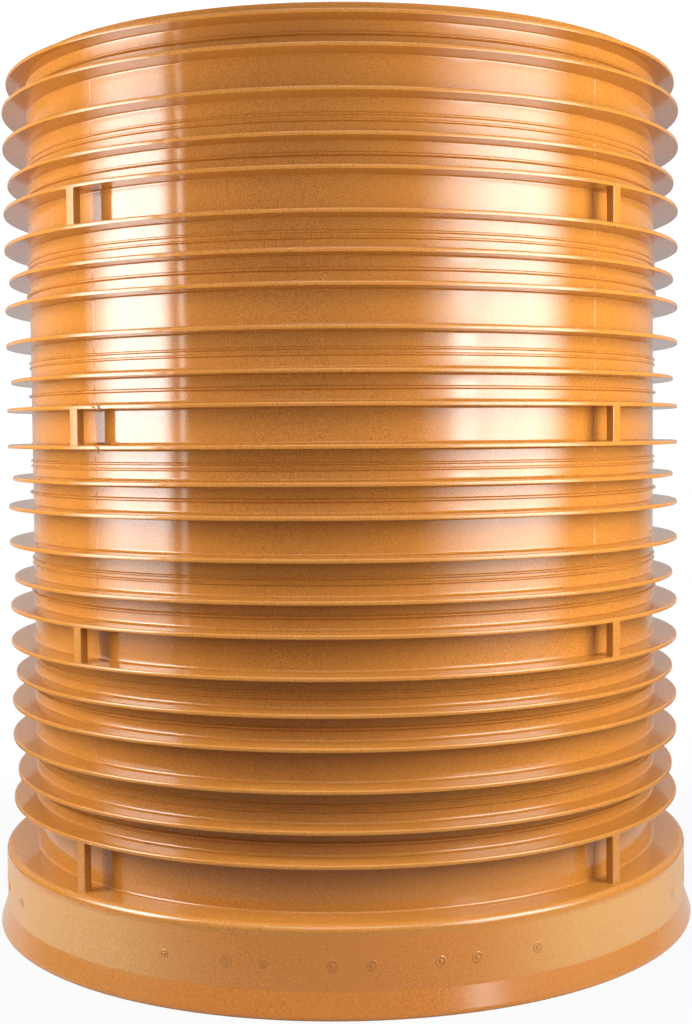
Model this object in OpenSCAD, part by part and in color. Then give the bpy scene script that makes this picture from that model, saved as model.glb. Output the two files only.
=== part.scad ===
// Corrugated manhole riser, moulded in one piece.
// A smooth round shaft with stacked outer rings, a plain spigot lip at the top
// and a socket at the bottom that slides over the rings of the riser below.
// Z is up, the axis is the Z axis and the socket stands on Z = 0.

/* [Shaft] */
// Inner diameter of the shaft
bore_d = 800; // [600:10:1000]
// Wall of the shaft between the rings
wall_t = 10; // [7:0.5:14]
// Plain lip of the shaft above the top ring
lip_h = 13; // [6:1:30]

/* [Ring spacing] */
// Height of one module of six rings
module_h = 250; // [240:2:300]
// Number of modules, which sets the effective height
modules = 4; // [1:1:6]
// Narrow step, used twice in each module
short_step = 36; // [28:1:40]
// Wide step, used three times in each module
long_step = 45.75; // [36:0.25:48]
// Step down to the first ring of the next module
close_step = 40.75; // [32:0.25:48]

/* [Rings] */
// How far the large rings stand out of the shaft
ring_out = 31; // [20:1:45]
// How much lower the small rings are
small_less = 5.5; // [0:0.5:10]
// Thickness of a ring at its edge
ring_t = 5; // [3.5:0.5:8]
// Extra thickness at a ring's root, on each side
ring_draft = 0.8; // [0:0.1:2]
// Rounding of a ring's upper edge
edge_top_round = 2; // [0.6:0.1:2.2]
// Rounding of a ring's lower edge
edge_low_round = 0.8; // [0.4:0.1:1.2]
// Rounding at a ring's root, on its upper side
root_top_round = 3; // [0.5:0.5:4]
// Rounding at a ring's root, on its lower side
root_low_round = 2; // [0.5:0.5:4]

/* [Cutting beads] */
// Height of the single bead in the narrow gaps
bead_out = 4; // [2:0.5:7]
// Width of the single bead
bead_w = 4.4; // [3:0.2:8]
// Height of the twin beads in the wide gaps
twin_out = 2.4; // [1:0.2:5]
// Width of each twin bead
twin_w = 3.6; // [2:0.2:5]
// Distance between the middles of the twin beads
twin_step = 6.5; // [5.5:0.5:9]
// How far the twin beads sit below the middle of their gap
twin_drop = 1.5; // [0:0.5:4]

/* [Lashing eyes] */
// Bars around the shaft at each level
bars_around = 4; // [2:1:8]
// Width of a bar along the edge of the rings
bar_w = 14; // [8:1:24]
// Depth of a bar, measured inwards from the edge of the rings
bar_deep = 10; // [6:1:14]

/* [Socket] */
// Height from the socket's mouth to the top of its shoulder
socket_h = 102; // [70:1:140]
// Radial clearance between the large rings and the socket
socket_clear = 3.5; // [1:0.5:6]
// Wall of the socket
socket_t = 7; // [6:0.2:12]
// Thickness of the shoulder between shaft and socket
shoulder_t = 8; // [6:0.5:14]
// Outer rounding of the shoulder
shoulder_round = 8; // [3:1:12]
// How far the mouth flares out
flare_out = 8.5; // [4:0.5:14]
// Height of the flared mouth
flare_h = 29; // [18:1:40]

/* [Hidden] */
$fn = 180;
arc_n = 3;
bore_r = bore_d / 2;
tube_r = bore_r + wall_t;
ring_r = tube_r + ring_out;
small_r = ring_r - small_less;
socket_in = ring_r + socket_clear;
socket_r = socket_in + socket_t;
seat_z = socket_h - shoulder_t;
// the lip stops this far below the seat of the riser above
seat_gap = 3;
// the bottom face of the top ring
top_ring_z = seat_z - seat_gap - lip_h - ring_t + module_h * modules;
total_h = top_ring_z + ring_t + lip_h;
// the last ring's place in a module is taken by the shoulder
ring_count = 6 * modules - 1;
mouth_r = socket_r + flare_out;
// wall at the mouth, its upright foot and the rounding below that
mouth_t = 7;
foot_h = 4;
foot_round = 2;
// the rounding at the foot of the shaft
foot_fillet = 3;
bar_inset = 0.3;

// steps from one ring down to the next, in their order in a module; where they
// don't add up to the module, each takes a sixth of what is missing
step_list = [short_step, long_step, long_step, short_step, long_step, close_step];
spread = (module_h - (2 * short_step + 3 * long_step + close_step)) / len(step_list);
steps = [for (s = step_list) s + spread];
function sum_to(k) = k <= 0 ? 0 : steps[k - 1] + sum_to(k - 1);
function place(i) = i % 6;
// bottom face of ring i, counted from the top
function ring_z(i) = top_ring_z - floor(i / 6) * module_h - sum_to(place(i));
function edge_r(i) = place(i) % 3 == 0 ? small_r : ring_r;
function step_below(i) = steps[place(i)];

// points on an arc about c from angle a0 to a1
function arc(c, r, a0, a1, n = arc_n) =
    [for (i = [0:n]) c + r * [cos(a0 + (a1 - a0) * i / n), sin(a0 + (a1 - a0) * i / n)]];

// one ring's outline, from its upper root round its edge to its lower root
function ring_outline(z, r) =
    let (et = edge_top_round, el = edge_low_round)
    let (rt = root_top_round, rl = root_low_round)
    concat(
        arc([tube_r + rt, z + ring_t + ring_draft + rt], rt, 180, 270),
        arc([r - et, z + ring_t - et], et, 90, 0),
        arc([r - el, z + el], el, 0, -90, 2),
        arc([tube_r + rl, z - ring_draft - rl], rl, 90, 180, 2)
    );

// a rounded bead of width w standing h proud, with its middle at z
function bead_outline(z, w, h) = [
    [tube_r, z + w / 2],
    [tube_r + h * 0.72, z + w * 0.36],
    [tube_r + h, z + w * 0.13],
    [tube_r + h, z - w * 0.13],
    [tube_r + h * 0.72, z - w * 0.36],
    [tube_r, z - w / 2]
];

// what lies in the gap below ring i: one bead, nothing or a pair of beads
function gap_outline(i) =
    let (k = place(i), free = step_below(i) - ring_t, mid = ring_z(i) - free / 2)
    i == ring_count - 1 ? [] :
    k % 3 == 0 ? bead_outline(mid, bead_w, bead_out) :
    k % 3 == 1 ? [] :
    concat(bead_outline(mid - twin_drop + twin_step / 2, twin_w, twin_out),
           bead_outline(mid - twin_drop - twin_step / 2, twin_w, twin_out));

rings_outline = [for (i = [0:ring_count - 1])
    each concat(ring_outline(ring_z(i), edge_r(i)), gap_outline(i))];

lip_outline = [
    [bore_r, total_h - 1],
    [bore_r + 1, total_h],
    [tube_r - 1.5, total_h],
    [tube_r, total_h - 1.5]
];

socket_outline = concat(
    arc([tube_r + foot_fillet, socket_h + foot_fillet], foot_fillet, 180, 270),
    arc([socket_r - shoulder_round, socket_h - shoulder_round], shoulder_round, 90, 0, 6),
    [
        [socket_r, flare_h],
        [mouth_r, foot_h]
    ],
    arc([mouth_r - foot_round, foot_round], foot_round, 0, -90)
);

inside_outline = [
    [mouth_r - mouth_t, 0],
    [socket_in, flare_h * 0.72],
    [socket_in, seat_z],
    [bore_r, seat_z]
];

module section() {
    polygon(concat(lip_outline, rings_outline, socket_outline, inside_outline));
}

// one bar from the underside of a ring to what is below it
module bar(z_low, z_high) {
    translate([ring_r - bar_inset - bar_deep, -bar_w / 2, z_low])
        cube([bar_deep, bar_w, z_high - z_low]);
}

// a level of bars, in the middle between the front and the sides
module bar_level(i) {
    low = i == ring_count - 1 ? socket_h - shoulder_t / 2 : ring_z(i + 1) + ring_t / 2;
    for (a = [0:bars_around - 1])
        rotate([0, 0, 45 + a * 360 / bars_around])
            bar(low, ring_z(i) + ring_t / 2);
}

module riser_body() {
    color([0.78, 0.48, 0.20])
        union() {
            rotate_extrude() section();
            for (m = [0:modules - 1]) bar_level(6 * m + 4);
        }
}

riser_body();
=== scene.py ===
"""Corrugated manhole riser: the moulded shell, its lashing bars and the fine marks of moulding."""

import math
import random

import bmesh
import bpy
from mathutils import Matrix, Vector


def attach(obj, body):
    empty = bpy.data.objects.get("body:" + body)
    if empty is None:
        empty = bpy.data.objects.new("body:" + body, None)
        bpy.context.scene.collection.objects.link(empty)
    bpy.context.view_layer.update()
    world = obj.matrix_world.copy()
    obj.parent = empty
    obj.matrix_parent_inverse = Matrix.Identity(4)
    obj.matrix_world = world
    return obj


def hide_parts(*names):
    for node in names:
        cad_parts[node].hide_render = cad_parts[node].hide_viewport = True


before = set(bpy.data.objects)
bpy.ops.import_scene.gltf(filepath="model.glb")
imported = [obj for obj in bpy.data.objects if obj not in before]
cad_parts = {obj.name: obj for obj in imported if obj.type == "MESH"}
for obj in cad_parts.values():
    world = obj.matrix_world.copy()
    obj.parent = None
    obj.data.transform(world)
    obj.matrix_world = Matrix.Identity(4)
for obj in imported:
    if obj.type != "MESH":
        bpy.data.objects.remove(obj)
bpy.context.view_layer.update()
MM = 0.001

# the part's own sizes, in millimetres
BORE_R = 400.0
WALL_T = 10.0
LIP_H = 13.0
LIP_ROUND = 1.5
MODULE_H = 250.0
MODULES = 4
STEPS = (36.0, 45.75, 45.75, 36.0, 45.75, 40.75)
RING_OUT = 31.0
SMALL_LESS = 5.5
RING_T = 5.0
RING_DRAFT = 0.8
EDGE_TOP_ROUND = 2.0
EDGE_LOW_ROUND = 0.8
ROOT_TOP_ROUND = 3.0
ROOT_LOW_ROUND = 2.0
BEAD_W = 4.4
BEAD_OUT = 4.0
TWIN_W = 3.6
TWIN_OUT = 2.4
TWIN_STEP = 6.5
TWIN_DROP = 1.5
SOCKET_H = 102.0
SOCKET_CLEAR = 3.5
SOCKET_T = 7.0
SHOULDER_T = 8.0
SHOULDER_ROUND = 8.0
SEAT_GAP = 3.0
FLARE_OUT = 8.5
FLARE_H = 29.0
MOUTH_T = 7.0
FOOT_H = 4.0
FOOT_ROUND = 2.0
FOOT_FILLET = 3.0

# what follows from them
TUBE_R = BORE_R + WALL_T
RING_R = TUBE_R + RING_OUT
SMALL_R = RING_R - SMALL_LESS
SOCKET_IN = RING_R + SOCKET_CLEAR
SOCKET_R = SOCKET_IN + SOCKET_T
MOUTH_R = SOCKET_R + FLARE_OUT
SEAT_Z = SOCKET_H - SHOULDER_T
TOP_RING_Z = SEAT_Z - SEAT_GAP - LIP_H - RING_T + MODULE_H * MODULES
TOTAL_H = TOP_RING_Z + RING_T + LIP_H
RINGS = len(STEPS) * MODULES - 1

# flat sides of the shell in a full turn, and the angles from which an edge stays sharp
SEGMENTS = 180
SHELL_SHARP = 38
BAR_SHARP = 60

# lashing bars: a level hangs below each of these rings, which are counted from the top
BAR_RINGS = (4, 10, 16, 22)
BAR_ANGLES = (45, 135, 225, 315)
BAR_W = 14.0
BAR_DEEP = 10.0
BAR_INSET = 0.3
BAR_ROUND = 1.1
BAR_SINK = 0.4
# a bar's end fillet: distances from the end and how much the bar widens there
BAR_FILLET = ((0.0, 1.5), (1.2, 0.45), (2.4, 0.0))

# the ridge at a mould seam: half its width, its height, how deep its sides reach into the
# surface, and how far it stays off the shoulder and the lip's top
SEAM_HALF_W = 0.75
SEAM_OUT = 0.32
SEAM_SINK = 0.12
SEAM_OFF_SHOULDER = 0.5
SEAM_OFF_LIP = 2.0

# gate marks on the socket's band, in degrees to either side of each mould part's middle
GATE_MIDDLES = (-90, 0, 90, 180)
GATE_ANGLES = (2.7, 12.3, 17.7, 27.3)
GATE_Z = 58.0
# distance from the mark's middle and height, from the rim to the torn stub
GATE_PROFILE = ((5.0, -0.15), (4.5, 0.3), (4.0, 0.55), (3.3, 0.1), (1.8, -0.02), (1.3, 0.5), (0.0, 0.75))
GATE_LEAN = (0.6, 1.3)
GATE_SPREAD = (1.0, 1.6)
GATE_SEGMENTS = 16

# slivers of flash: seams in degrees from the front, rings that carry some, and their spread
SLIVER_SEAMS = (-45, 45, 135, 225)
SLIVER_RINGS = (1, 2, 7, 8, 10, 11, 13, 14, 17, 19)
SLIVERS_PER_SEAM = 5
SLIVER_ASIDE = 9
SLIVER_LENGTH = (2.5, 5.5)
SLIVER_HEIGHT = (0.5, 4.5)
SLIVER_TILT = 0.5

# tints of the plastic, and what dulls it, paints shade on the socket's mouth, tints its band and paints a
# sheen on both
DARK = (0.39, 0.146, 0.023)
MIDDLE = (0.47, 0.187, 0.032)
PALE = (0.555, 0.228, 0.043)
SCUFF = (0.66, 0.33, 0.13)
MOUTH_PAINTED_SHADE = (0.95, 0.82, 0.78, 1)
BAND_TINT = (1.067, 0.9214, 0.7761, 1)
PAINTED_SHEEN = (1.08, 1.58, 3.2, 1)
MOUTH_DULL = 0.11
BAND_DULL = 0.24
MOUTH_PAINTED_SHEEN = 0.3

# lamps, world and floor
LAMP_LEFT = 13.9
LAMP_RIGHT = 12.0
LAMP_STRIP = 10.0
LAMP_TOP = 2.3
LAMP_FAR = 8.0
WORLD_FRONT = 0.2
WORLD_BACK = 1.1
WORLD_TOP = 0.72
FLOOR_NEAR = 0.32
FLOOR_FAR = 0.1
BACK_GLOW = 0.5

# the camera, in metres and radians; it stands turned this far round the riser's axis
VIEW_TURN = 0.0104
CAMERA_PLACE = (0, -2.0855, 0.6316)
CAMERA_YAW = 0.01737
CAMERA_PITCH = 0.05227
CAMERA_ROLL = 0.00723
CAMERA_LENS = 54.312
CAMERA_SHIFT = (-0.02456, 0.0007)


def ring_z(i):
    """Bottom face of ring i, counted from the top."""
    module, place = divmod(i, len(STEPS))
    return TOP_RING_Z - module * MODULE_H - sum(STEPS[:place])


def edge_r(i):
    """Radius of ring i: every third ring is a small one."""
    return SMALL_R if i % 3 == 0 else RING_R


def arc(cx, cz, r, a0, a1, n):
    """Points on an arc round a centre, from angle a0 to a1 in n steps."""
    angles = [math.radians(a0 + (a1 - a0) * k / n) for k in range(n + 1)]
    return [(cx + r * math.cos(a), cz + r * math.sin(a)) for a in angles]


def ring_outline(z, r):
    """One ring from its upper root round its edge to its lower root."""
    edge_top = EDGE_TOP_ROUND
    edge_low = EDGE_LOW_ROUND
    root_top = ROOT_TOP_ROUND
    root_low = ROOT_LOW_ROUND
    return (
        arc(TUBE_R + root_top, z + RING_T + RING_DRAFT + root_top, root_top, 180, 270, 3)
        + arc(r - edge_top, z + RING_T - edge_top, edge_top, 90, 0, 3)
        + arc(r - edge_low, z + edge_low, edge_low, 0, -90, 2)
        + arc(TUBE_R + root_low, z - RING_DRAFT - root_low, root_low, 90, 180, 2)
    )


def bead_outline(z, w, h):
    """A rounded bead of width w that stands h proud of the shaft, with its middle at z."""
    return [
        (TUBE_R, z + w * 0.5),
        (TUBE_R + h * 0.72, z + w * 0.36),
        (TUBE_R + h, z + w * 0.13),
        (TUBE_R + h, z - w * 0.13),
        (TUBE_R + h * 0.72, z - w * 0.36),
        (TUBE_R, z - w * 0.5),
    ]


def gap_outline(i):
    """What lies on the shaft below ring i: one bead, nothing or a pair."""
    if i == RINGS - 1 or i % 3 == 1:
        return []
    mid = ring_z(i) - (STEPS[i % len(STEPS)] - RING_T) / 2
    if i % 3 == 0:
        return bead_outline(mid, BEAD_W, BEAD_OUT)
    upper = bead_outline(mid - TWIN_DROP + TWIN_STEP / 2, TWIN_W, TWIN_OUT)
    lower = bead_outline(mid - TWIN_DROP - TWIN_STEP / 2, TWIN_W, TWIN_OUT)
    return upper + lower


def outer_line():
    """The outside of the section, from the lip down to the foot, with softened corners."""
    pts = [
        (TUBE_R - LIP_ROUND, TOTAL_H),
        (TUBE_R - 0.4, TOTAL_H - 0.4),
        (TUBE_R, TOTAL_H - LIP_ROUND),
    ]
    for i in range(RINGS):
        pts += ring_outline(ring_z(i), edge_r(i)) + gap_outline(i)
    pts += arc(TUBE_R + FOOT_FILLET, SOCKET_H + FOOT_FILLET, FOOT_FILLET, 180, 270, 4)
    pts += arc(SOCKET_R - SHOULDER_ROUND, SOCKET_H - SHOULDER_ROUND, SHOULDER_ROUND, 90, 0, 8)
    pts += [
        (SOCKET_R, FLARE_H + 0.8),
        (SOCKET_R + 0.25, FLARE_H - 0.8),
        (MOUTH_R - 0.75, FOOT_H + 2.2),
        (MOUTH_R - 0.2, FOOT_H + 0.6),
        (MOUTH_R, FOOT_H - 0.6),
    ]
    return pts + arc(MOUTH_R - FOOT_ROUND, FOOT_ROUND, FOOT_ROUND, 0, -90, 4)


def inner_line():
    """The inside of the section, from the foot up to the lip."""
    return [
        (MOUTH_R - MOUTH_T, 0.0),
        (SOCKET_IN, FLARE_H * 0.72),
        (SOCKET_IN, SEAT_Z),
        (BORE_R, SEAT_Z),
        (BORE_R, TOTAL_H - 1.0),
        (BORE_R + 1.0, TOTAL_H),
    ]


def new_object(name, bm, material, smooth=True):
    """Turns a bmesh into an object of one material."""
    mesh = bpy.data.meshes.new(name)
    bm.normal_update()
    bm.to_mesh(mesh)
    bm.free()
    for p in mesh.polygons:
        p.use_smooth = smooth
    obj = bpy.data.objects.new(name, mesh)
    bpy.context.scene.collection.objects.link(obj)
    mesh.materials.append(material)
    return obj


def mark_sharp(bm, degrees):
    """Keeps every edge sharp at which the surface turns by more than this."""
    for e in bm.edges:
        if len(e.link_faces) == 2 and e.calc_face_angle(0) > math.radians(degrees):
            e.smooth = False


def weigh_normals(obj):
    """Lets the larger faces set the shading, so that flats look flat beside their roundings."""
    mod = obj.modifiers.new("weighted", "WEIGHTED_NORMAL")
    mod.mode = "FACE_AREA"
    mod.weight = 50
    mod.keep_sharp = True


def full_spin(bm, verts, edges, steps):
    """Turns a line of edges once round the Z axis and closes the seam."""
    bmesh.ops.spin(
        bm,
        geom=verts + edges,
        cent=(0, 0, 0),
        axis=(0, 0, 1),
        dvec=(0, 0, 0),
        angle=math.tau,
        steps=steps,
        use_merge=True,
    )


def make_shell(material):
    """The whole section, turned round the axis."""
    bm = bmesh.new()
    verts = [bm.verts.new((r * MM, 0.0, z * MM)) for r, z in outer_line() + inner_line()]
    edges = [bm.edges.new(pair) for pair in zip(verts, verts[1:] + verts[:1])]
    full_spin(bm, verts, edges, SEGMENTS)
    bmesh.ops.recalc_face_normals(bm, faces=bm.faces)
    mark_sharp(bm, SHELL_SHARP)
    obj = new_object("riser_shell", bm, material)
    weigh_normals(obj)
    return obj


def bar_span(i):
    """Lower and upper end of the bars below ring i; the lowest stand on the shoulder."""
    stand = SOCKET_H if i == RINGS - 1 else ring_z(i + 1) + RING_T
    return stand - BAR_SINK, ring_z(i) + BAR_SINK


def bar_growth(reach):
    """How much a bar widens at this distance from its end."""
    return next((grow for at, grow in BAR_FILLET if abs(reach - at) < 0.1), 0.0)


def make_bars(material):
    """Sixteen upright bars, flush with the large rings, each with a small fillet at both ends."""
    bm = bmesh.new()
    spans = [bar_span(i) for i in BAR_RINGS]
    mid_x = (RING_R - BAR_INSET - BAR_DEEP / 2) * MM
    for low, high in spans:
        size = Matrix.Diagonal((BAR_DEEP * MM, BAR_W * MM, (high - low) * MM, 1))
        place = Matrix.Translation((mid_x, 0, (low + high) / 2 * MM))
        bmesh.ops.create_cube(bm, size=1.0, matrix=place @ size)
    uprights = [e for e in bm.edges if abs(e.verts[0].co.z - e.verts[1].co.z) > MM]
    bmesh.ops.bevel(
        bm, geom=uprights, offset=BAR_ROUND * MM, segments=3, profile=0.5, affect="EDGES", material=-1
    )
    cuts = [z for low, high in spans for at, _ in BAR_FILLET[1:] for z in (low + at, high - at)]
    for cut in cuts:
        geom = bm.verts[:] + bm.edges[:] + bm.faces[:]
        bmesh.ops.bisect_plane(bm, geom=geom, plane_co=(0, 0, cut * MM), plane_no=(0, 0, 1))
    for v in bm.verts:
        reach = min(abs(v.co.z / MM - end) for span in spans for end in span)
        grow = bar_growth(reach) * MM
        if v.co.x < mid_x:
            v.co.x -= grow
        v.co.y += math.copysign(grow, v.co.y)
    first = Matrix.Rotation(math.radians(BAR_ANGLES[0]), 3, "Z")
    bmesh.ops.rotate(bm, verts=bm.verts[:], cent=(0, 0, 0), matrix=first)
    bmesh.ops.spin(
        bm,
        geom=bm.verts[:] + bm.edges[:] + bm.faces[:],
        cent=(0, 0, 0),
        axis=(0, 0, 1),
        dvec=(0, 0, 0),
        angle=math.radians(BAR_ANGLES[-1] - BAR_ANGLES[0]),
        steps=len(BAR_ANGLES) - 1,
        use_duplicate=True,
    )
    bmesh.ops.recalc_face_normals(bm, faces=bm.faces)
    mark_sharp(bm, BAR_SHARP)
    obj = new_object("lashing_bars", bm, material)
    weigh_normals(obj)
    return obj


def beside_line(points, gap):
    """The open line of points moved sideways by gap, to its left as it runs."""
    moved = []
    for k, (r, z) in enumerate(points):
        before = points[max(k - 1, 0)]
        after = points[min(k + 1, len(points) - 1)]
        dr = after[0] - before[0]
        dz = after[1] - before[1]
        length = math.hypot(dr, dz)
        moved.append((r - gap * dz / length, z + gap * dr / length))
    return moved


def looks_inwards(face):
    """Whether a face looks towards the axis."""
    middle = face.calc_center_median()
    return face.normal.x * middle.x + face.normal.y * middle.y < 0


def turn_outwards(bm):
    """Turns all faces round if most of them look towards the axis."""
    bm.normal_update()
    inward = [f for f in bm.faces if looks_inwards(f)]
    if len(inward) > len(bm.faces) / 2:
        bmesh.ops.reverse_faces(bm, faces=bm.faces)


def make_parting_lines(material):
    """The thin ridges that the mould's four parts leave, in line with the bars."""
    ends = (SOCKET_H + SEAM_OFF_SHOULDER, TOTAL_H - SEAM_OFF_LIP)
    line = [p for p in outer_line() if ends[0] < p[1] < ends[1]]
    foot = beside_line(line, -SEAM_SINK)
    crest = beside_line(line, SEAM_OUT)
    bm = bmesh.new()
    for angle in BAR_ANGLES:
        turn = Matrix.Rotation(math.radians(angle), 3, "Z")
        rows = []
        for points, aside in ((foot, -SEAM_HALF_W), (crest, 0.0), (foot, SEAM_HALF_W)):
            row = [bm.verts.new(turn @ Vector((r * MM, aside * MM, z * MM))) for r, z in points]
            rows.append([bm.edges.new(pair) for pair in zip(row, row[1:])])
        for near, far in zip(rows, rows[1:]):
            bmesh.ops.bridge_loops(bm, edges=near + far)
    bmesh.ops.recalc_face_normals(bm, faces=bm.faces)
    turn_outwards(bm)
    return new_object("parting_lines", bm, material)


def gate_mark(bm, angle, lean, spread):
    """One scar: its section turned round the origin, then laid on the band at this angle."""
    others = set(bm.verts)
    verts = [bm.verts.new((x * spread * MM, 0, h * lean * MM)) for x, h in GATE_PROFILE]
    edges = [bm.edges.new(pair) for pair in zip(verts, verts[1:])]
    full_spin(bm, verts, edges, GATE_SEGMENTS)
    doubles = [v for v in bm.verts if v not in others]
    bmesh.ops.remove_doubles(bm, verts=doubles, dist=0.02 * MM)
    for v in bm.verts:
        if v in others:
            continue
        out = SOCKET_R * MM + v.co.z
        turn = angle + v.co.x / (SOCKET_R * MM)
        up = GATE_Z * MM + v.co.y
        v.co = (out * math.cos(turn), out * math.sin(turn), up)


def make_gate_marks(material):
    """Small round scars where the mould was filled: a low rim with a torn stub in its middle."""
    bm = bmesh.new()
    for middle in GATE_MIDDLES:
        for aside in GATE_ANGLES + tuple(-a for a in GATE_ANGLES):
            lean = random.uniform(*GATE_LEAN)
            spread = random.uniform(*GATE_SPREAD)
            gate_mark(bm, math.radians(middle + aside), lean, spread)
    bmesh.ops.recalc_face_normals(bm, faces=bm.faces)
    turn_outwards(bm)
    return new_object("gate_marks", bm, material)


def seat_sliver(verts, lie, ring, off, height, degrees):
    """Turns a sliver by lie and seats it on a ring's edge, this far round from the front."""
    seat = Vector((edge_r(ring) + off, 0, ring_z(ring) + height)) * MM
    place = Matrix.Rotation(math.radians(degrees - 90), 3, "Z")
    for v in verts:
        v.co = place @ (lie @ v.co + seat)


def burr(bm, ring, degrees, length, height):
    """A sliver of flash that curls off a ring's edge at a mould seam."""
    part = bmesh.ops.create_cone(
        bm, cap_ends=True, segments=5, radius1=0.6 * MM, radius2=0.12 * MM, depth=length * MM
    )["verts"]
    for v in part:
        up = v.co.z / (length * MM) + 0.5
        v.co.x += 0.25 * length * MM * up * up
        v.co.y *= 0.5
    twist = random.uniform(-SLIVER_TILT, SLIVER_TILT)
    lie = Matrix.Rotation(twist, 3, "X") @ Matrix.Rotation(math.radians(60), 3, "Y")
    seat_sliver(part, lie, ring, 0.3, height, degrees)


def shred(bm, ring, degrees, length, height, swing):
    """A longer, straight sliver that hangs over a ring's edge and stands a little off it."""
    part = bmesh.ops.create_cone(
        bm, cap_ends=True, segments=6, radius1=1.1 * MM, radius2=0.4 * MM, depth=length * MM
    )["verts"]
    lie = Matrix.Rotation(math.radians(12), 3, "Y") @ Matrix.Rotation(math.radians(swing), 3, "X")
    seat_sliver(part, lie, ring, 1.0, height, degrees)


def make_burrs(material):
    """Slivers left on the ring edges: a few near each mould seam, and three longer ones."""
    bm = bmesh.new()
    for seam in SLIVER_SEAMS:
        for _ in range(SLIVERS_PER_SEAM):
            ring = random.choice(SLIVER_RINGS)
            aside = random.uniform(-SLIVER_ASIDE, SLIVER_ASIDE)
            length = random.uniform(*SLIVER_LENGTH)
            height = random.uniform(*SLIVER_HEIGHT)
            burr(bm, ring, seam + aside, length, height)
    # beside the front left bar of the second level, where shreds hang over two edges
    shred(bm, BAR_RINGS[1], -39.0, length=13.0, height=0.5, swing=-158)
    shred(bm, BAR_RINGS[1], -40.2, length=5.0, height=2.0, swing=-110)
    shred(bm, BAR_RINGS[1] + 1, -39.3, length=9.5, height=-0.5, swing=-153)
    bmesh.ops.recalc_face_normals(bm, faces=bm.faces)
    return new_object("flash_slivers", bm, material)


def new_material(name):
    """A material with its node tree and its main shader."""
    mat = bpy.data.materials.new(name)
    mat.use_nodes = True
    tree = mat.node_tree
    return mat, tree, tree.nodes["Principled BSDF"]


def node(tree, kind, **values):
    """A new node; inputs are given by name with spaces as underscores, other values are settings."""
    made = tree.nodes.new(kind)
    for key, value in values.items():
        label = key.replace("_", " ")
        if label in made.inputs:
            made.inputs[label].default_value = value
        else:
            setattr(made, key, value)
    return made


def feed(tree, socket, value):
    """Gives a socket an output to follow or a plain value."""
    if isinstance(value, bpy.types.NodeSocket):
        tree.links.new(value, socket)
    else:
        socket.default_value = value


def axes_of(tree, vector):
    """The outputs X, Y and Z of a vector."""
    split = node(tree, "ShaderNodeSeparateXYZ")
    tree.links.new(vector, split.inputs["Vector"])
    return split.outputs


def noise(tree, coords, scale, detail=2.0, rough=0.5, stretch=(1, 1, 1)):
    """A noise pattern over the coordinates, which are multiplied by stretch first."""
    place = node(tree, "ShaderNodeMapping", Scale=stretch)
    tree.links.new(coords, place.inputs["Vector"])
    made = node(tree, "ShaderNodeTexNoise", Scale=scale, Detail=detail, Roughness=rough)
    tree.links.new(place.outputs["Vector"], made.inputs["Vector"])
    return made.outputs["Fac"]


def ramp(tree, value, low, high, to_low, to_high, kind="SMOOTHSTEP"):
    """Maps low..high onto to_low..to_high, clamped, and smoothly unless kind says LINEAR."""
    made = node(tree, "ShaderNodeMapRange", interpolation_type=kind)
    for label, number in zip(("From Min", "From Max", "To Min", "To Max"), (low, high, to_low, to_high)):
        made.inputs[label].default_value = number
    tree.links.new(value, made.inputs["Value"])
    return made.outputs["Result"]


def math_node(tree, operation, a, b=0.0):
    """One operation on two outputs or numbers."""
    made = node(tree, "ShaderNodeMath", operation=operation)
    feed(tree, made.inputs[0], a)
    feed(tree, made.inputs[1], b)
    return made.outputs["Value"]


def product(tree, *factors):
    """All factors multiplied."""
    result = factors[0]
    for factor in factors[1:]:
        result = math_node(tree, "MULTIPLY", result, factor)
    return result


def blend_colours(tree, factor, a, b, how="MIX"):
    """Colour a with colour b laid over it by factor."""
    made = node(tree, "ShaderNodeMix", data_type="RGBA", blend_type=how)
    for label, value in (("Factor", factor), ("A", a), ("B", b)):
        feed(tree, next(i for i in made.inputs if i.name == label and i.enabled), value)
    return next(o for o in made.outputs if o.name == "Result" and o.enabled)


def mirrored_ray(tree):
    """1 for rays that something glossy or clear has sent on, else 0."""
    seen = node(tree, "ShaderNodeLightPath").outputs
    return math_node(tree, "MAXIMUM", seen["Is Glossy Ray"], seen["Is Transmission Ray"])


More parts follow.
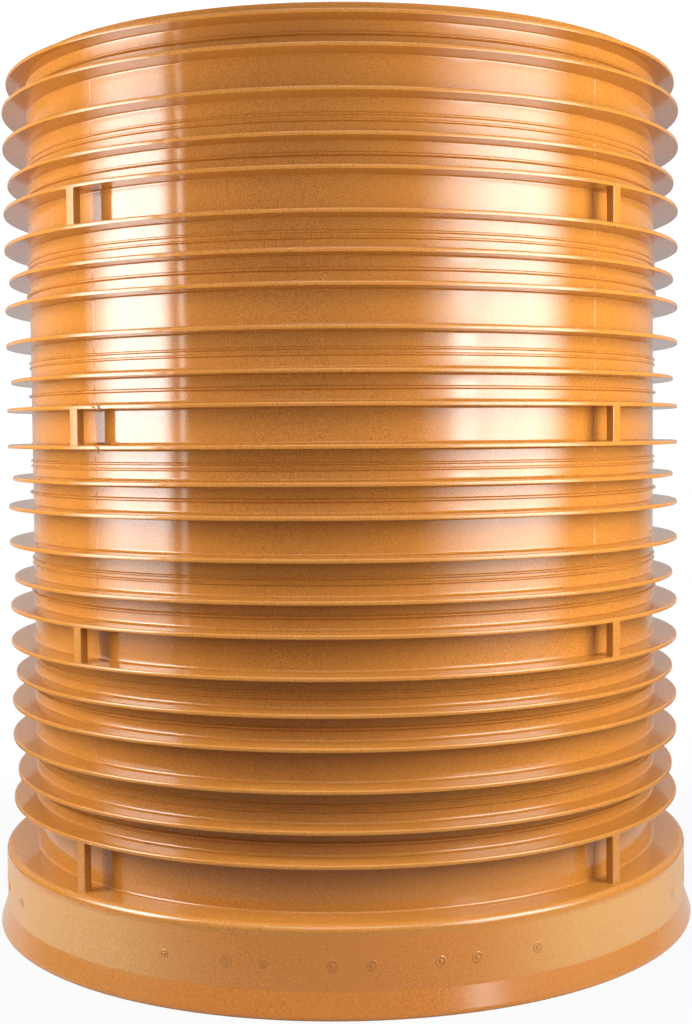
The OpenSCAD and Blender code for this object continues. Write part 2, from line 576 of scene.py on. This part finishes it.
def plastic(name="riser_plastic", shade=1.0, duller=0.0):
    """Glossy orange brown polypropylene with fine grain and faint flow clouds, duller on the socket, with
    painted shade on the socket's mouth and a painted sheen where the socket is seen at a glancing angle.
    """

    def tint(colour):
        return tuple(shade * c for c in colour) + (1,)

    mat, tree, bsdf = new_material(name)
    coords = node(tree, "ShaderNodeTexCoord").outputs["Object"]
    height = axes_of(tree, coords)["Z"]
    grain = noise(tree, coords, 720, detail=1.0)
    clouds = noise(tree, coords, 7, detail=3.0, stretch=(1, 1, 0.5))
    scuffs = noise(tree, coords, 38, detail=4.0, rough=0.65, stretch=(1, 1, 3.5))
    scuffed = ramp(tree, scuffs, 0.60, 0.78, 0.0, 0.10)
    # 0 on the flared mouth and 1 on the plain band; 1 below the shoulder's rounding and 0 above it
    on_band = ramp(tree, height, (FLARE_H - 2) * MM, (FLARE_H + 2) * MM, 0.0, 1.0)
    below_shoulder = ramp(tree, height, (SOCKET_H - 16) * MM, (SOCKET_H - 8) * MM, 1.0, 0.0)

    colour = blend_colours(tree, ramp(tree, grain, 0.34, 0.66, 0.0, 1.0), tint(DARK), tint(PALE))
    colour = blend_colours(tree, ramp(tree, clouds, 0.35, 0.65, 0.0, 0.5), colour, tint(MIDDLE))
    colour = blend_colours(tree, scuffed, colour, tint(SCUFF))
    # painted shade darkens the flared mouth, which tilts up; the band gets a warmer tint
    socket_tint_and_shade = blend_colours(tree, on_band, MOUTH_PAINTED_SHADE, BAND_TINT)
    colour = blend_colours(tree, below_shoulder, colour, socket_tint_and_shade, how="MULTIPLY")
    # painted sheen: the socket is paled where it is seen at a glancing angle, in place of a broad
    # reflection of the lamps
    facing = node(tree, "ShaderNodeLayerWeight", Blend=0.5).outputs["Facing"]
    glancing = ramp(tree, facing, 0.07, 0.34, 0.0, 1.0)
    painted_sheen_mask = product(tree, glancing, ramp(tree, on_band, 0.0, 1.0, MOUTH_PAINTED_SHEEN, 1.0), below_shoulder)
    colour = blend_colours(tree, painted_sheen_mask, colour, PAINTED_SHEEN, how="MULTIPLY")
    tree.links.new(colour, bsdf.inputs["Base Color"])

    dull = ramp(tree, on_band, 0.0, 1.0, MOUTH_DULL, BAND_DULL, kind="LINEAR")
    gloss = ramp(tree, clouds, 0.35, 0.65, 0.08 + duller, 0.11 + duller)
    rough = math_node(tree, "ADD", product(tree, dull, below_shoulder), gloss)
    rough = math_node(tree, "ADD", rough, product(tree, scuffed, 1.2))
    tree.links.new(rough, bsdf.inputs["Roughness"])
    bsdf.inputs["IOR"].default_value = 1.5
    bsdf.inputs["Specular IOR Level"].default_value = 0.65

    bump = node(tree, "ShaderNodeBump", Strength=0.05, Distance=0.0004)
    tree.links.new(grain, bump.inputs["Height"])
    tree.links.new(bump.outputs["Normal"], bsdf.inputs["Normal"])
    return mat


def floor_paint():
    """White to the camera and, beside and behind the object, in reflections; it keeps the soft shadow."""
    mat, tree, bsdf = new_material("floor_paint")
    bsdf.inputs["Roughness"].default_value = 0.9
    coords = node(tree, "ShaderNodeTexCoord").outputs["Object"]
    depth = axes_of(tree, coords)["Y"]
    away = node(tree, "ShaderNodeVectorMath", operation="LENGTH")
    tree.links.new(coords, away.inputs[0])
    distance = away.outputs["Value"]
    tree.links.new(ramp(tree, distance, 0.5, 1.1, FLOOR_NEAR, FLOOR_FAR), bsdf.inputs["Base Color"])

    close = ramp(tree, distance, 0.7, 1.0, 0.7, 0.0)
    beside = product(tree, ramp(tree, depth, -0.55, -0.2, 0.0, 1.0), close)
    behind = ramp(tree, math_node(tree, "DIVIDE", depth, distance), 0.6, 0.85, 0.0, BACK_GLOW)
    mirrored = product(tree, mirrored_ray(tree), math_node(tree, "MAXIMUM", beside, behind))
    camera_ray = node(tree, "ShaderNodeLightPath").outputs["Is Camera Ray"]
    shown = product(tree, camera_ray, ramp(tree, distance, 0.48, 1.1, 0.93, 1.0))

    glow = node(tree, "ShaderNodeEmission", Strength=1.0)
    mix = node(tree, "ShaderNodeMixShader")
    tree.links.new(math_node(tree, "MAXIMUM", shown, mirrored), mix.inputs["Fac"])
    tree.links.new(bsdf.outputs["BSDF"], mix.inputs[1])
    tree.links.new(glow.outputs["Emission"], mix.inputs[2])
    tree.links.new(mix.outputs["Shader"], tree.nodes["Material Output"].inputs["Surface"])
    return mat


def make_stage():
    """A wide round floor."""
    bm = bmesh.new()
    bmesh.ops.create_circle(bm, cap_ends=True, radius=30, segments=64)
    obj = new_object("floor", bm, floor_paint(), smooth=False)


def across(x, y, z):
    """A point given to the right of, beyond and above the riser's foot as the camera sees it."""
    return Matrix.Rotation(-VIEW_TURN, 3, "Z") @ Vector((x, y, z))


def make_camera():
    """The camera in front of the riser, a little above its middle."""
    data = bpy.data.cameras.new("camera")
    data.sensor_width = 36.0
    data.lens = CAMERA_LENS
    data.shift_x = CAMERA_SHIFT[0]
    data.shift_y = CAMERA_SHIFT[1]
    data.clip_start = 0.05
    data.clip_end = 200
    cam = bpy.data.objects.new("camera", data)
    bpy.context.scene.collection.objects.link(cam)
    turn = (
        Matrix.Rotation(-CAMERA_YAW - VIEW_TURN, 4, "Z")
        @ Matrix.Rotation(math.pi / 2 - CAMERA_PITCH, 4, "X")
        @ Matrix.Rotation(-CAMERA_ROLL, 4, "Z")
    )
    cam.matrix_world = Matrix.Translation(across(*CAMERA_PLACE)) @ turn
    bpy.context.scene.camera = cam


def softbox(name, place, target, size, radiance, fade, far_edge=0.0, seam=None):
    """A rectangular lamp that faces its target and fades towards its edges.

    fade holds the share of the width or height over which it fades, first at both ends of its
    width, then at its lower and upper edge. far_edge is the level that its first end keeps, and
    seam is where a faint upright seam divides it.
    """
    data = bpy.data.lights.new(name, "AREA")
    data.shape = "RECTANGLE"
    data.size, data.size_y = size
    data.energy = radiance * math.pi * size[0] * size[1]
    data.use_nodes = True
    tree = data.node_tree
    spot = axes_of(tree, node(tree, "ShaderNodeNewGeometry").outputs["Parametric"])
    level = product(
        tree,
        ramp(tree, spot["X"], 0.0, fade[0], far_edge, 1.0),
        ramp(tree, spot["X"], 1.0 - fade[1], 1.0, 1.0, 0.0),
        ramp(tree, spot["Y"], 0.0, fade[2], 0.0, 1.0),
        ramp(tree, spot["Y"], 1.0 - fade[3], 1.0, 1.0, 0.0),
    )
    if seam is not None:
        off = math_node(tree, "ABSOLUTE", math_node(tree, "SUBTRACT", spot["X"], seam))
        level = product(tree, level, ramp(tree, off, 0.0, 0.008, 0.7, 1.0))
    tree.links.new(level, tree.nodes["Emission"].inputs["Strength"])
    lamp = bpy.data.objects.new(name, data)
    lamp.visible_camera = False
    bpy.context.scene.collection.objects.link(lamp)
    lamp.location = across(*place)
    facing = across(*target) - across(*place)
    lamp.rotation_euler = facing.to_track_quat("-Z", "Y").to_euler()


def make_lights():
    """Two tall softboxes, a thin strip at the left, a panel overhead and one far to the right."""
    softbox(
        "left_softbox",
        place=(-1.128, -0.4835, 0.81),
        target=(-0.2415, -0.3265, 0.81),
        size=(0.80, 1.24),
        radiance=LAMP_LEFT,
        fade=(0.47, 0.17, 0.395, 0.355),
        far_edge=0.1,
    )
    softbox(
        "right_softbox",
        place=(0.901, -0.927, 0.81),
        target=(0.1216, -0.477, 0.81),
        size=(1.38, 1.24),
        radiance=LAMP_RIGHT,
        fade=(0.616, 0.297, 0.395, 0.355),
        seam=0.62,
    )
    softbox(
        "left_strip",
        place=(-0.935, -0.8565, 0.81),
        target=(-0.175, -0.3742, 0.81),
        size=(0.040, 1.24),
        radiance=LAMP_STRIP,
        fade=(0.35, 0.50, 0.395, 0.355),
    )
    softbox(
        "top_panel",
        place=(0, -2.1, 2.7),
        target=(0, 0, 0.5),
        size=(3.0, 2.0),
        radiance=LAMP_TOP,
        fade=(0.3, 0.3, 0.4, 0.4),
    )
    softbox(
        "far_panel",
        place=(2.12, -2.57, 0.78),
        target=(0.15, -0.43, 0.02),
        size=(0.80, 0.52),
        radiance=LAMP_FAR,
        fade=(0.4, 0.4, 0.4, 0.4),
    )


def make_world():
    """White to the camera; it lights the front a little, the top and, but for gloss, the back."""
    world = bpy.data.worlds.new("studio")
    bpy.context.scene.world = world
    world.use_nodes = True
    tree = world.node_tree
    direction = axes_of(tree, node(tree, "ShaderNodeTexCoord").outputs["Generated"])
    seen = node(tree, "ShaderNodeLightPath").outputs
    front = ramp(tree, direction["Y"], -0.7, 0.2, WORLD_FRONT, 0.0)
    not_glossy = math_node(tree, "SUBTRACT", 1.0, seen["Is Glossy Ray"])
    back = product(tree, ramp(tree, direction["Y"], 0.3, 0.85, 0.0, WORLD_BACK), not_glossy)
    top = ramp(tree, direction["Z"], 0.3, 0.8, 0.0, WORLD_TOP)
    mirrored = product(tree, mirrored_ray(tree), ramp(tree, direction["Y"], 0.25, 0.85, 0.0, BACK_GLOW))
    level = math_node(tree, "ADD", math_node(tree, "ADD", front, back), top)
    level = math_node(tree, "MAXIMUM", level, mirrored)
    level = math_node(tree, "MAXIMUM", level, seen["Is Camera Ray"])
    background = tree.nodes["Background"]
    tree.links.new(level, background.inputs["Strength"])
    background.inputs["Color"].default_value = (1, 1, 1, 1)


random.seed(11)
make_camera()
make_lights()
make_world()
make_stage()
riser_plastic = plastic()
# the scars' plastic is darker, as painted shade for their pits and rims, and glossier
scar_plastic_shaded = plastic("gate_scar_shaded", shade=0.88, duller=-0.12)
shell = make_shell(riser_plastic)
bars = make_bars(riser_plastic)
seams = make_parting_lines(riser_plastic)
gates = make_gate_marks(scar_plastic_shaded)
slivers = make_burrs(riser_plastic)
for piece in (shell, bars, seams, gates, slivers):
    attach(piece, "root")
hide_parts("riser_body")

bpy.context.scene.view_settings.view_transform = "Standard"
